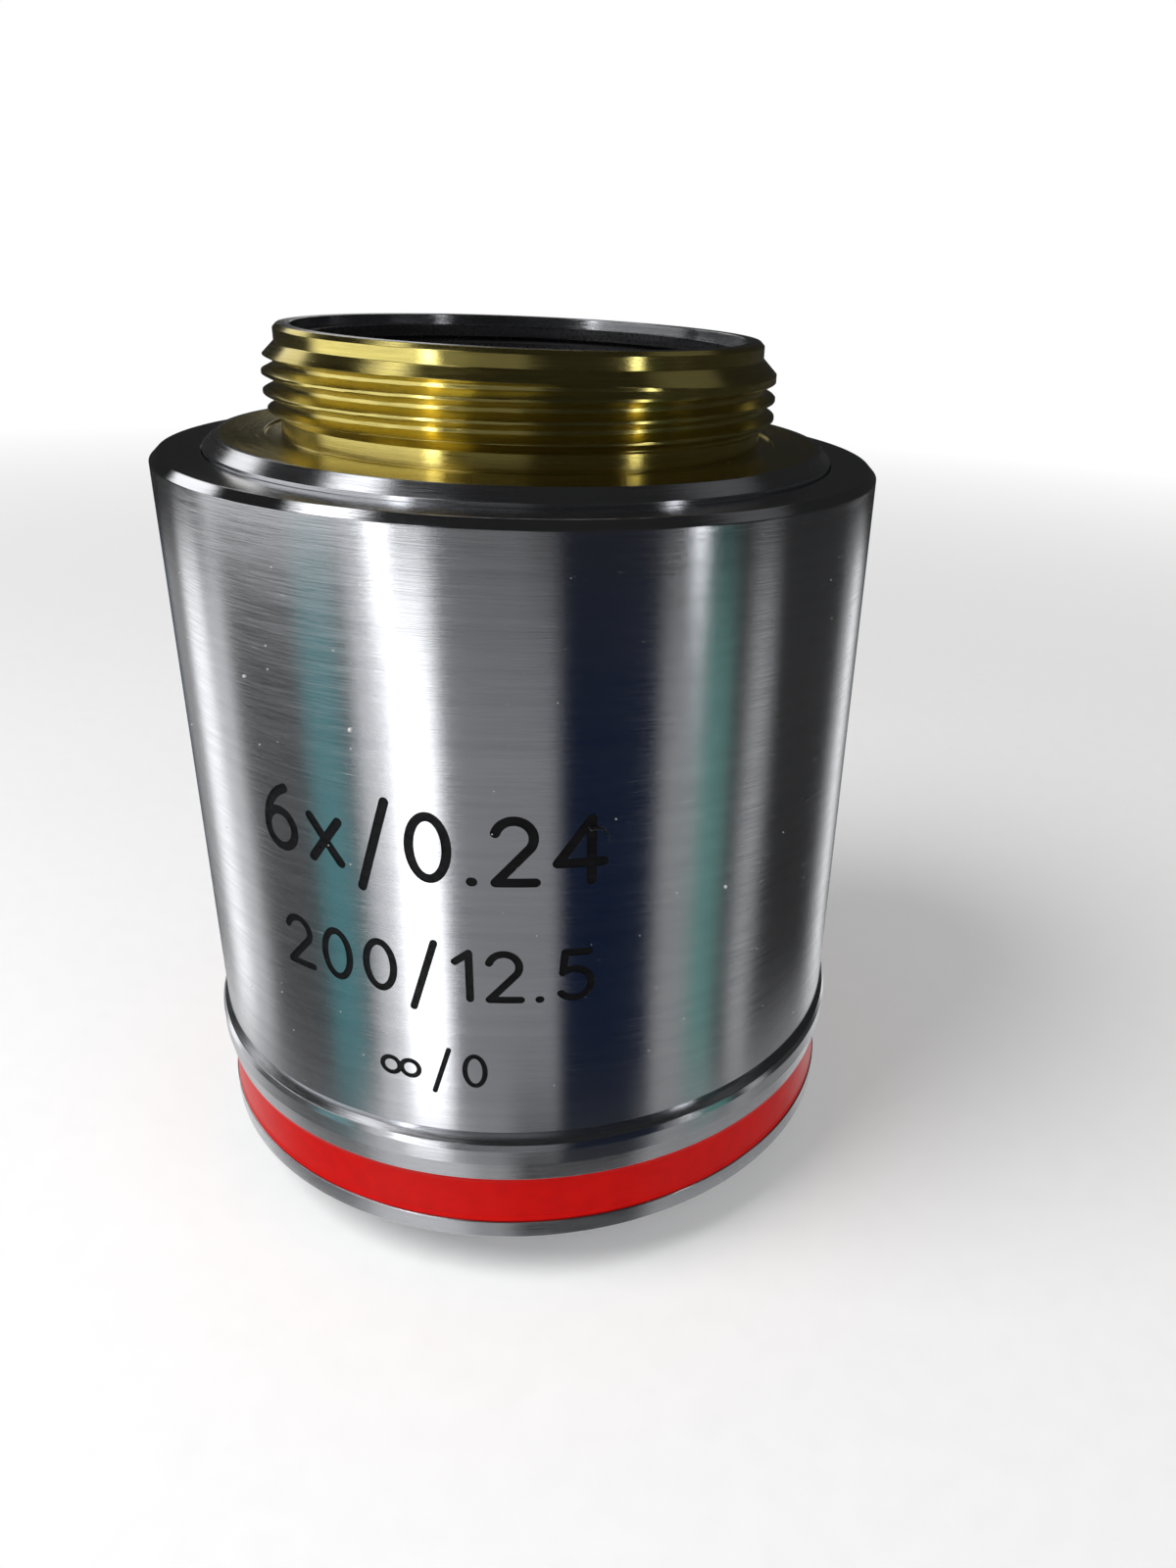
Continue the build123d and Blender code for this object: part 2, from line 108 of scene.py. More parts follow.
# Barrel, nose ring and band
slip = 0.03
barrel_chamfer = 0.3
joint_groove = 0.25
ring_cylinder_height = 1.17
ring_lower_radius = 14.62
band_groove_depth = 0.42
foot_chamfer = 0.25
ring_web = 1.18
snout_radius = 10.8
meniscus = 0.08                  # height over which the enamel climbs the edge of its groove
enamel_dip = 0.03                # how far its middle lies under its edges

# Corners
small_break = 0.1
brass_rounding = 0.04
plated_rounding = 0.05
enamel_rounding = 0.1
rounding_limit = 0.4             # largest share of an edge that its rounding takes

# Engraving
engraving_depth = 0.14
paint_sink = 0.05                # the paint lies this far under the metal
paint_clearance = 0.001          # and ends this far over the floor of the cut
stroke_share = 0.13              # stroke width over numeral height
text_centre = -1.9               # middle of each row along the barrel surface from the front line
engraved_columns = (FRONT - 42, FRONT + 30)
ARC_STEP = 12                    # degrees between the points of an arc
CAP_STEPS = 8
RING_STEPS = 36

# Dust on the barrel: degrees from the front towards +X, height, and the radius of a speck
lint_path = [(15.9, -11.1), (16.4, -11.25), (17.1, -11.2), (17.8, -11.2), (18.5, -11.4), (19.0, -11.75)]
lint_radius = 0.04
lint_tip_share = 0.3             # the fibre thins to this share at its ends
lint_lift = 0.05                 # its middle line over the metal
specks = [(-34.7, -6.96, 0.06), (-16.4, -7.96, 0.08), (38.5, -14.7, 0.07)]
speck_lift = 0.01
fine_speck_count = 160
fine_speck_sizes = (0.01, 0.028)
fine_speck_lift = 0.002
fine_speck_margin = 1            # kept clear at both ends of the barrel
speck_lumps = (0.8, 1.2)         # shares of its radius between which the outline of a speck wanders
DUST_SIDES = 8
DUST_LAYERS = 5

# Looks
plated_from = 11.95              # the shoulder is bare brass inside this radius and plated outside it
plated_inside = 9.42             # the rim and the bore of the neck are plated
tone_spread = (0.3, 0.7)         # values of a noise between which a colour turns from dark to light
gloss_range = (0.6, 1.4)         # shares of the roughness between which turning marks move it
polish_height = barrel_high.z - barrel_chamfer
polish_blend = 0.05              # faces above that height are smoother, with a change this wide on each side

# Camera of the photo, as fitted to the edges of the object
camera_place = (7.18, -50.43, 7.08)
camera_tilt = radians(26.3)      # below the horizon
camera_roll = radians(2.865)
camera_lens = 26.83
camera_sensor = 36               # its width lies along the long side of the picture
camera_shift = (-0.0587, 0.0271)
camera_clip = (0.001, 20)        # metres

# Studio: light strengths, where 1 is white
sky_light = 0.28                 # the world, for matt surfaces
floor_lift = 0.16                # added to the floor where the camera, metal or glass sees it
backdrop_light = 0.2             # between the low cards
dark_light = 0.012               # between the high cards
plating_reflectance = 0.63       # the cards are brighter by this, so that the plating shows their values
floor_radii = [20, 40, 60, 90, 130, 200, 400, 1000, 3000]    # rings of the floor's mesh
floor_fade = (48, 240)           # radii between which the floor turns white

# Stage that carries the cards: a sheet over the table, a round wall and a shallow dome
table_radii = (16, 78)
table_rows = 32
table_lift = 0.2
wall_radius = 85
wall_top = 85
wall_rows = 40
dome_rows = 12
dome_rise = 6
low_card_rim = (-16, -12)        # elevations between which the low cards give way to the high ones
near_card_reach = 20             # radius on the table where the near cards start to give way
near_card_blend = 8
card_edge = (0.8, 1.2)           # share of its half size over which a high card fades
limb_margin = radians(1)         # kept from the edge of the barrel as the camera sees it
limb_samples = 400


class Builder:
    """Collects faces with a normal at every corner, and makes them a mesh."""

    def __init__(self):
        self.points, self.faces, self.normals = [], [], []

    def point(self, x, y, z):
        self.points.append((x * MM, y * MM, z * MM))
        return len(self.points) - 1

    def face(self, corners, normals):
        self.faces.append(corners)
        self.normals.extend(normals)

    def make_object(self, name, material):
        mesh = bpy.data.meshes.new(name)
        mesh.from_pydata(self.points, [], self.faces)
        mesh.update()
        mesh.shade_smooth()
        mesh.normals_split_custom_set([Vector(n).normalized() for n in self.normals])
        mesh.materials.append(material)
        obj = bpy.data.objects.new(name, mesh)
        bpy.context.scene.collection.objects.link(obj)
        return obj

    def make_stage(self, name, material):
        obj = self.make_object(name, material)
        return obj

    def make(self, name, material, replaces=None):
        obj = self.make_object(name, material)
        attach(obj, "root")
        if replaces:
            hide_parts(replaces)


def rounded(outline, radius):
    """The closed half section with small arcs for corners, as (r, z, normal r, normal z) in order."""
    count = len(outline)
    area = sum(a[0] * b[1] - b[0] * a[1] for a, b in zip(outline, outline[1:] + outline[:1]))
    if area < 0:
        outline = outline[::-1]
    section = []
    for i, here in enumerate(outline):
        before, after = outline[i - 1], outline[(i + 1) % count]
        edge_in = (here[0] - before[0], here[1] - before[1])
        edge_out = (after[0] - here[0], after[1] - here[1])
        length_in, length_out = hypot(*edge_in), hypot(*edge_out)
        angle_in, angle_out = atan2(-edge_in[0], edge_in[1]), atan2(-edge_out[0], edge_out[1])
        turn = (angle_out - angle_in + pi) % (2 * pi) - pi
        trim = min(abs(radius * tan(turn / 2)), rounding_limit * length_in, rounding_limit * length_out)
        start = (here[0] - edge_in[0] / length_in * trim, here[1] - edge_in[1] / length_in * trim)
        end = (here[0] + edge_out[0] / length_out * trim, here[1] + edge_out[1] / length_out * trim)
        for step in range(ROUNDING_STEPS + 1):
            share = step / ROUNDING_STEPS
            weights = ((1 - share) ** 2, 2 * share * (1 - share), share ** 2)
            r = weights[0] * start[0] + weights[1] * here[0] + weights[2] * end[0]
            z = weights[0] * start[1] + weights[1] * here[1] + weights[2] * end[1]
            angle = angle_in + share * turn
            section.append((r, z, cos(angle), sin(angle)))
    return section


def column(index):
    """Direction of a column of the turned meshes, as (x, y)."""
    angle = 2 * pi * index / SEGMENTS
    return cos(angle), sin(angle)


def turned(builder, section, skip=None):
    """Spins a half section and returns the point indices. skip(row, column) leaves a face out."""
    grid = []
    for r, z, _, _ in section:
        grid.append([builder.point(r * x, r * y, z) for x, y in map(column, range(SEGMENTS))])
    for row in range(len(section)):
        after = (row + 1) % len(section)
        for i in range(SEGMENTS):
            if skip and skip(row, i):
                continue
            j = (i + 1) % SEGMENTS
            picks = ((row, i), (row, j), (after, j), (after, i))
            normals = []
            for at, turn in picks:
                x, y = column(turn)
                _, _, normal_r, normal_z = section[at]
                normals.append((normal_r * x, normal_r * y, normal_z))
            builder.face([grid[at][turn] for at, turn in picks], normals)
    return grid


def join_rows(builder, rows, normals):
    """Adds the faces between closed rows of points, with a normal at each point."""
    for k in range(len(rows) - 1):
        for i in range(SEGMENTS):
            j = (i + 1) % SEGMENTS
            picks = ((k, i), (k, j), (k + 1, j), (k + 1, i))
            builder.face([rows[a][b] for a, b in picks], [normals[a][b] for a, b in picks])


def inside(polygon, u, v):
    """Whether a point lies in a polygon, by counting crossings."""
    found = False
    for (u0, v0), (u1, v1) in zip(polygon, polygon[1:] + polygon[:1]):
        if (v0 > v) != (v1 > v) and u < u0 + (v - v0) / (v1 - v0) * (u1 - u0):
            found = not found
    return found


def radial(place, radius):
    """Outward direction at an (arc, height) place of a round wall."""
    angle = place[0] / radius - pi / 2
    return cos(angle), sin(angle), 0


def wall_point(builder, place, radius, depth=0):
    """Adds the point some depth under an (arc, height) place of a round wall."""
    x, y, _ = radial(place, radius)
    return builder.point((radius - depth) * x, (radius - depth) * y, place[1])


def cut_wall(builder, upper, lower, heights, radius, shapes):
    """Fills the engraved columns of a round wall with triangles that follow the shapes cut into it.

    A shape is an outline and the holes in it, as (arc, height) points counted from the front line.
    Returns the place of every point, its index on the wall, and the triangles that lie inside a shape.
    """
    places, edges, known = [], [], {}
    first, last = engraved_columns
    for i in range(first, last + 1):
        arc = (i - FRONT) * 2 * pi / SEGMENTS * radius
        for height, row in zip(heights, (upper, lower)):
            known[len(places)] = row[i % SEGMENTS]
            places.append((arc, height))
        edges.append((len(places) - 2, len(places) - 1))
        if i > first:
            edges.append((len(places) - 4, len(places) - 2))
            edges.append((len(places) - 3, len(places) - 1))
    for outline, holes in shapes:
        for loop in [outline] + holes:
            start = len(places)
            places.extend(loop)
            edges.extend((start + k, start + (k + 1) % len(loop)) for k in range(len(loop)))
    found = delaunay_2d_cdt([Vector(p) for p in places], edges, [], 0, TOLERANCE)
    out_places, triangles, origins = found[0], found[2], found[3]
    index = []
    for place, origin in zip(out_places, origins):
        match = [known[o] for o in origin if o in known]
        index.append(match[0] if match else wall_point(builder, place, radius))
    boxes = []
    for outline, holes in shapes:
        us, vs = [p[0] for p in outline], [p[1] for p in outline]
        boxes.append((min(us), max(us), min(vs), max(vs), outline, holes))
    cut = []
    for triangle in triangles:
        u = sum(out_places[k][0] for k in triangle) / 3
        v = sum(out_places[k][1] for k in triangle) / 3
        near = [box[4:] for box in boxes if box[0] < u < box[1] and box[2] < v < box[3]]
        if any(inside(outline, u, v) and not any(inside(h, u, v) for h in holes) for outline, holes in near):
            cut.append(triangle)
        else:
            builder.face([index[k] for k in triangle], [radial(out_places[k], radius) for k in triangle])
    return out_places, index, cut


class Cut:
    """The triangles that an engraving takes out of a round wall, to be laid again at other depths."""

    def __init__(self, places, triangles, radius):
        self.places, self.triangles, self.radius = places, triangles, radius
        edges = {(t[k], t[(k + 1) % 3]) for t in triangles for k in range(3)}
        self.rim = sorted(edge for edge in edges if (edge[1], edge[0]) not in edges)

    def layer(self, builder, depth, facing):
        """Adds the triangles at a depth, facing out (1) or in (-1). Returns the point indices by corner."""
        corners = sorted({k for triangle in self.triangles for k in triangle})
        points = {k: wall_point(builder, self.places[k], self.radius, depth) for k in corners}
        for triangle in self.triangles:
            picks = triangle[::facing]
            normals = [Vector(radial(self.places[k], self.radius)) * facing for k in picks]
            builder.face([points[k] for k in picks], normals)
        return points

    def sides(self, builder, upper, lower, facing):
        """Adds the walls between two layers, which look into the cut (1) or out of its filling (-1)."""
        for a, b in self.rim:
            start, end = self.places[a], self.places[b]
            along = Vector((end[0] - start[0], end[1] - start[1])).normalized()
            outward = radial(((start[0] + end[0]) / 2, 0), self.radius)
            across = (-outward[1], outward[0])
            normal = Vector((-along.y * across[0], -along.y * across[1], along.x)) * facing
            corners = [upper[a], upper[b], lower[b], lower[a]]
            builder.face(corners[::facing], [normal] * 4)


# Numerals on a cell one unit high, as the width of the cell and the strokes of a round cutter: a line from
# one point to another, an arc by centre, radius, start and sweep in degrees, or a ring by centre and sizes
NUMERALS = {
    "6": (0.56, [("ring", (0.28, 0.3), 0.56, 0.6), ("arc", (0.73, 0.33), 0.73, 114, 66)]),
    "x": (0.5, [("line", (0, 0.68), (0.5, 0)), ("line", (0, 0), (0.5, 0.68))]),
    "/": (0.45, [("line", (0.45, 1.15), (0, -0.3))]),
    "0": (0.56, [("ring", (0.28, 0.5), 0.56, 1)]),
    "1": (0.28, [("line", (0.28, 0), (0.28, 1)), ("line", (0.28, 1), (0.02, 0.8))]),
    ".": (0.02, [("line", (0, 0), (0.02, 0))]),
    "2": (0.56, [("arc", (0.28, 0.72), 0.28, -32, 195), ("line", (0.517, 0.572), (0, 0)),
                 ("line", (0, 0), (0.58, 0))]),
    "4": (0.68, [("line", (0.5, 1), (0, 0.3)), ("line", (0, 0.3), (0.68, 0.3)),
                 ("line", (0.5, 1), (0.5, 0))]),
    "5": (0.58, [("line", (0.54, 1), (0.1, 1)), ("line", (0.1, 1), (0.06, 0.56)),
                 ("arc", (0.27, 0.32), 0.32, -140, 271)]),
    "∞": (1.1, [("ring", (0.26, 0.35), 0.52, 0.52), ("ring", (0.84, 0.35), 0.52, 0.52)]),
}

# Rows: text, height, baseline below the shoulder, gap between numerals
ROWS = [
    ("6x/0.24", 2.8, 13.45, 0.82),
    ("200/12.5", 2.3, 18.4, 0.72),
    ("∞/0", 1.6, 22.4, 0.6),
]


def arc_points(centre, radius, start, sweep, steps):
    """Points of an arc, angles in degrees."""
    angles = [radians(start + sweep * k / steps) for k in range(steps + 1)]
    return [(centre[0] + radius * cos(a), centre[1] + radius * sin(a)) for a in angles]


def stroke_shape(stroke, place, scale, width):
    """Outline and holes of one stroke of a cutter with round ends."""
    half = width / 2

    def put(point):
        return place[0] + point[0] * scale, place[1] + point[1] * scale

    if stroke[0] == "line":
        a, b = put(stroke[1]), put(stroke[2])
        heading = degrees(atan2(b[1] - a[1], b[0] - a[0]))
        far_cap = arc_points(b, half, heading - 90, 180, CAP_STEPS)
        return far_cap + arc_points(a, half, heading + 90, 180, CAP_STEPS), []
    centre = put(stroke[1])
    if stroke[0] == "arc":
        radius, start, sweep = stroke[2] * scale, stroke[3], stroke[4]
        steps = ceil(abs(sweep) / ARC_STEP)
        outer = arc_points(centre, radius + half, start, sweep, steps)
        inner = arc_points(centre, radius - half, start + sweep, -sweep, steps)
        tail, tip = arc_points(centre, radius, start, sweep, 1)
        tip_cap = arc_points(tip, half, start + sweep, 180, CAP_STEPS)[1:-1]
        tail_cap = arc_points(tail, half, start + 180, 180, CAP_STEPS)[1:-1]
        return outer + tip_cap + inner + tail_cap, []
    circle = arc_points((0, 0), 1, 0, 360, RING_STEPS)[:-1]
    loops = []
    for grow in (half, -half):
        wide, high = stroke[2] * scale / 2 + grow, stroke[3] * scale / 2 + grow
        loops.append([(centre[0] + wide * x, centre[1] + high * y) for x, y in circle])
    return loops[0], [loops[1]]


def numeral_shapes():
    """Every stroke of every row, in (arc, height) places."""
    shapes = []
    for text, height, baseline, gap in ROWS:
        width = height * stroke_share
        scale = height - width
        length = sum(NUMERALS[c][0] * scale for c in text) + gap * (len(text) - 1)
        arc = text_centre - length / 2
        for c in text:
            for stroke in NUMERALS[c][1]:
                shapes.append(stroke_shape(stroke, (arc, -baseline + width / 2), scale, width))
            arc += NUMERALS[c][0] * scale + gap
    return shapes


def make_barrel(metal, paint):
    """The plated sleeve with its numerals cut in, and the black paint that fills them."""
    radius, top, bottom = barrel_high.x, barrel_high.z, barrel_low.z
    outline = [
        (body_high.x + slip, top),
        (radius - barrel_chamfer, top),
        (radius, top - barrel_chamfer),
        (radius, bottom + joint_groove),
        (radius - joint_groove, bottom),
        (tube_radius + slip, bottom),
        (tube_radius + slip, flange_bottom),
        (body_high.x + slip, flange_bottom),
    ]
    section = rounded(outline, plated_rounding)
    wall = [i for i, (r, _, _, slope) in enumerate(section) if hypot(r - radius, slope) < TOLERANCE]
    low_row, high_row = min(wall), max(wall)
    first, last = engraved_columns
    builder = Builder()
    grid = turned(builder, section, skip=lambda row, i: row == low_row and first <= i < last)
    heights = (section[high_row][1], section[low_row][1])
    places, index, triangles = cut_wall(
        builder, grid[high_row], grid[low_row], heights, radius, numeral_shapes()
    )
    cut = Cut(places, triangles, radius)
    floor = cut.layer(builder, engraving_depth, 1)
    cut.sides(builder, index, floor, 1)
    builder.make("barrel", metal, "barrel_sleeve")

    filling = Builder()
    surface = cut.layer(filling, paint_sink, 1)
    back = cut.layer(filling, engraving_depth - paint_clearance, -1)
    cut.sides(filling, surface, back, -1)
    filling.make("numeral_paint", paint)


def smoothstep(low, high, value):
    """0 below low, 1 above high and an even curve between."""
    share = np.clip((value - low) / (high - low), 0, 1)
    return share * share * (3 - 2 * share)


def thread_wall(angle, z):
    """Radius of the neck wall with the right-handed thread, for arrays of angles in radians and heights."""
    turn = angle / (2 * pi)
    count = (z - first_crest) / thread_pitch - turn
    from_crest = np.abs(count - np.round(count)) * thread_pitch
    flank = thread_depth * tan(thread_flank)
    cut = np.clip((from_crest - crest_land / 2) / flank, 0, 1)
    cutter = 1 - smoothstep(*thread_fade, np.floor(count) + turn)
    corners = (*undercut_cone, *lead_cone)
    lead = np.interp(z, corners, (pilot_radius, thread_radius, thread_radius, pilot_radius))
    ripple = sum(depth * np.sin(waves * angle + drift * z) for depth, waves, drift in crest_waves)
    crest = thread_radius + np.minimum(ripple, 0) - thread_depth * cut * cutter
    return np.maximum(pilot_radius, np.minimum(lead, crest))


def thread_rows(heights):
    """Points and normals of the neck wall, in a row for each height."""
    angle, z = np.meshgrid(np.arange(SEGMENTS) * 2 * pi / SEGMENTS, heights)
    radius = thread_wall(angle, z)
    nudge = 0.004    # millimetres up or radians round
    slope_z = (thread_wall(angle, z + nudge) - thread_wall(angle, z - nudge)) / (2 * nudge)
    slope_a = (thread_wall(angle + nudge, z) - thread_wall(angle - nudge, z)) / (2 * nudge)
    around = slope_a / radius
    normal_x = np.cos(angle) + around * np.sin(angle)
    normal_y = np.sin(angle) - around * np.cos(angle)
    places = np.stack([radius * np.cos(angle), radius * np.sin(angle), z], axis=-1)
    return places, np.stack([normal_x, normal_y, -slope_z], axis=-1)


def make_body(material):
    """Neck, thread, shoulder flange and inner tube, one brass turning."""
    neck_top, tube_end = body_high.z, body_low.z
    outline = [
        (tube_bore_radius, tube_end),
        (tube_radius - small_break, tube_end),
        (tube_radius, tube_end + small_break),
        (tube_radius, flange_bottom),
        (body_high.x, flange_bottom),
        (body_high.x, -shoulder_bevel),
        (body_high.x - shoulder_bevel, 0),
        (seat_inner_radius, 0),
        (seat_inner_radius, -seat_relief),
        (pilot_radius, -seat_relief),
        (pilot_radius, neck_top - pilot_chamfer),
        (pilot_radius - pilot_chamfer, neck_top),
        (neck_bore_radius, neck_top),
        (neck_bore_radius, ceiling),
        (tube_bore_radius, ceiling),
    ]
    section = rounded(outline, brass_rounding)
    low, high = undercut_cone[0] - thread_margin, lead_cone[1] + thread_margin
    on_pilot = [k for k, (r, z, _, _) in enumerate(section) if abs(r - pilot_radius) < TOLERANCE and z < low]
    last_below = max(on_pilot)
    builder = Builder()
    rows = turned(builder, section, skip=lambda row, i: row == last_below)
    places, normals = thread_rows(np.arange(low, high, thread_row))
    threaded = [[builder.point(*place) for place in row] for row in places]
    plain = [(*column(i), 0) for i in range(SEGMENTS)]
    join_rows(builder, [rows[last_below]] + threaded + [rows[last_below + 1]], [plain, *normals, plain])
    builder.make("body", material, "mount_body")


def make_ring(material):
    """The nose ring, with the groove of the joint above and the groove of the band."""
    top, bottom, radius = ring_high.z, ring_low.z, ring_high.x
    cylinder_end = top - ring_cylinder_height
    groove_radius = ring_lower_radius - band_groove_depth
    outline = [
        (tube_radius + slip, top),
        (barrel_high.x - joint_groove, top),
        (radius - small_break, top - joint_groove),
        (radius, top - 2 * joint_groove),
        (radius, cylinder_end),
        (ring_lower_radius, band_high.z),
        (groove_radius, band_high.z),
        (groove_radius, band_low.z),
        (ring_lower_radius, band_low.z),
        (ring_lower_radius, bottom + foot_chamfer),
        (ring_lower_radius - foot_chamfer, bottom),
        (snout_radius + slip + small_break, bottom),
        (snout_radius + slip, bottom + small_break),
        (snout_radius + slip, bottom + ring_web),
        (tube_radius + slip, bottom + ring_web),
    ]
    builder = Builder()
    turned(builder, rounded(outline, plated_rounding))
    builder.make("ring", material, "nose_ring")


def make_band(material):
    """The enamel band, its edges drawn up against the metal as paint in a groove does."""
    inner, outer = ring_lower_radius - band_groove_depth, band_high.x
    top, bottom = band_high.z, band_low.z
    outline = [
        (inner, bottom),
        (outer, bottom),
        (outer, bottom + meniscus),
        (outer - enamel_dip, bottom + 3 * meniscus),
        (outer - enamel_dip, top - 3 * meniscus),
        (outer, top - meniscus),
        (outer, top),
        (inner, top),
    ]
    builder = Builder()
    turned(builder, rounded(outline, enamel_rounding))
    builder.make("band", material, "colour_band")


def on_barrel(angle, z, lift):
    """Point over the barrel wall, by degrees from the front towards +X."""
    reach = barrel_high.x + lift
    return Vector((reach * sin(radians(angle)), -reach * cos(radians(angle)), z))


def ring_round(builder, centre, offsets):
    """Adds a ring of points about a centre. Returns each point's index and its offset as the normal."""
    return [(builder.point(*(centre + offset)), offset) for offset in offsets]


def add_fibre(builder, path, radius):
    """A thin fibre along a path on the barrel, thinner at its ends."""
    rings = []
    last = len(path) - 1
    turns = [2 * pi * i / DUST_SIDES for i in range(DUST_SIDES)]
    for k, centre in enumerate(path):
        along = (path[min(k + 1, last)] - path[max(k - 1, 0)]).normalized()
        outward = Vector((centre.x, centre.y, 0)).normalized()
        across = along.cross(outward).normalized()
        thickness = radius if 0 < k < last else radius * lint_tip_share
        offsets = [thickness * (cos(turn) * outward + sin(turn) * across) for turn in turns]
        rings.append(ring_round(builder, centre, offsets))
    for lower, upper in zip(rings, rings[1:]):
        for i in range(DUST_SIDES):
            picks = (lower[i], lower[i - 1], upper[i - 1], upper[i])
            builder.face([index for index, _ in picks], [normal for _, normal in picks])
    for ring, heading in ((rings[0], path[0] - path[1]), (rings[-1][::-1], path[-1] - path[-2])):
        builder.face([index for index, _ in ring], [heading] * DUST_SIDES)


def add_speck(builder, centre, size):
    """A lumpy grain a few hundredths of a millimetre across."""
    top = builder.point(centre.x, centre.y, centre.z + size)
    low = builder.point(centre.x, centre.y, centre.z - size)
    rings = []
    for k in range(1, DUST_LAYERS):
        tilt = pi * k / DUST_LAYERS
        offsets = []
        for i in range(DUST_SIDES):
            turn = 2 * pi * i / DUST_SIDES
            reach = size * sin(tilt) * random.uniform(*speck_lumps)
            offsets.append(Vector((reach * cos(turn), reach * sin(turn), size * cos(tilt))))
        rings.append(ring_round(builder, centre, offsets))
    for i in range(DUST_SIDES):
        a, b = rings[0][i - 1], rings[0][i]
        builder.face((top, a[0], b[0]), [UP, a[1], b[1]])
        a, b = rings[-1][i - 1], rings[-1][i]
        builder.face((low, b[0], a[0]), [(0, 0, -1), b[1], a[1]])
        for upper, lower in zip(rings, rings[1:]):
            picks = (upper[i - 1], lower[i - 1], lower[i], upper[i])
            builder.face([index for index, _ in picks], [normal for _, normal in picks])


def make_dust(material):
    """The curled fibre and the three specks seen on the barrel in the photo, and finer dust all round."""
    builder = Builder()
    add_fibre(builder, [on_barrel(angle, z, lint_lift) for angle, z in lint_path], lint_radius)
    for angle, z, size in specks:
        add_speck(builder, on_barrel(angle, z, speck_lift), size)
    lowest, highest = barrel_low.z + fine_speck_margin, barrel_high.z - fine_speck_margin
    for _ in range(fine_speck_count):
        angle, z = random.uniform(-180, 180), random.uniform(lowest, highest)
        add_speck(builder, on_barrel(angle, z, fine_speck_lift), random.uniform(*fine_speck_sizes))
    builder.make("dust", material)


class Nodes:
    """Short way to build the nodes of a material or a world."""

    def __init__(self, owner, output="ShaderNodeOutputMaterial"):
        owner.use_nodes = True
        self.owner = owner
        self.tree = owner.node_tree
        self.tree.nodes.clear()
        self.output = self.add(output)

    def add(self, kind, inputs=None, **settings):
        node = self.tree.nodes.new(kind)
        for key, value in settings.items():
            setattr(node, key, value)
        for key, value in (inputs or {}).items():
            if isinstance(value, bpy.types.NodeSocket):
                self.tree.links.new(value, node.inputs[key])
            else:
                node.inputs[key].default_value = value
        return node

    def show(self, shader):
        self.tree.links.new(shader.outputs[0], self.output.inputs["Surface"])
        return self.owner

    def math(self, operation, *values):
        return self.add("ShaderNodeMath", dict(enumerate(values)), operation=operation).outputs[0]

    def map_range(self, value, start, end, low, high):
        """Straight line from low at the start to high at the end, level before and after."""
        return self.add("ShaderNodeMapRange", {
            "Value": value, "From Min": start, "From Max": end, "To Min": low, "To Max": high,
        }).outputs[0]

    def tones(self, noise, dark, light, between=tone_spread):
        """Colour that wanders with a noise from the dark to the light tone, each a grey or a colour."""
        node = self.add("ShaderNodeValToRGB", {"Fac": noise})
        for element, place, tone in zip(node.color_ramp.elements, between, (dark, light)):
            element.position = place
            element.color = (*tone, 1) if isinstance(tone, tuple) else (tone, tone, tone, 1)
        return node.outputs["Color"]

    def place(self):
        """Position in millimetres, its parts, and the distance from the axis."""
        position = self.add("ShaderNodeTexCoord").outputs["Object"]
        scaled = self.add("ShaderNodeVectorMath", {0: position, 3: 1 / MM}, operation="SCALE").outputs[0]
        x, y, z = self.add("ShaderNodeSeparateXYZ", {0: scaled}).outputs
        flat = self.add("ShaderNodeCombineXYZ", {0: x, 1: y}).outputs[0]
        radius = self.add("ShaderNodeVectorMath", {0: flat}, operation="LENGTH").outputs["Value"]
        return scaled, x, y, z, radius

    def turning(self, around, across):
        """Noise drawn out round the axis, as a turning tool leaves it: scales per millimetre."""
        _, x, y, z, radius = self.place()
        vector = self.add("ShaderNodeCombineXYZ", {
            0: self.math("MULTIPLY", x, around),
            1: self.math("MULTIPLY", y, around),
            2: self.math("MULTIPLY", z, across),
        }).outputs[0]
        noise = self.add("ShaderNodeTexNoise", {
            "Vector": vector, "W": self.math("MULTIPLY", radius, across), "Scale": 1.0, "Detail": 3.0,
        }, noise_dimensions="4D")
        return noise.outputs["Fac"]

    def grain(self, scale, detail=2.0):
        """Even noise, scale per millimetre."""
        noise = self.add("ShaderNodeTexNoise", {"Vector": self.place()[0], "Scale": scale, "Detail": detail})
        return noise.outputs["Fac"]

    def bump(self, height, strength, distance):
        inputs = {"Height": height, "Strength": strength, "Distance": distance * MM}
        return self.add("ShaderNodeBump", inputs).outputs[0]

    def surface(self, inputs):
        return self.show(self.add("ShaderNodeBsdfPrincipled", inputs))

    def looked_at(self):
        """1 where the camera, metal or glass looks, else 0."""
        path = self.add("ShaderNodeLightPath").outputs
        seen = self.math("MAXIMUM", path["Is Camera Ray"], path["Is Glossy Ray"])
        return self.math("MAXIMUM", seen, path["Is Transmission Ray"])


def new_material(name):
    """Nodes of a new material."""
    return Nodes(bpy.data.materials.new(name))


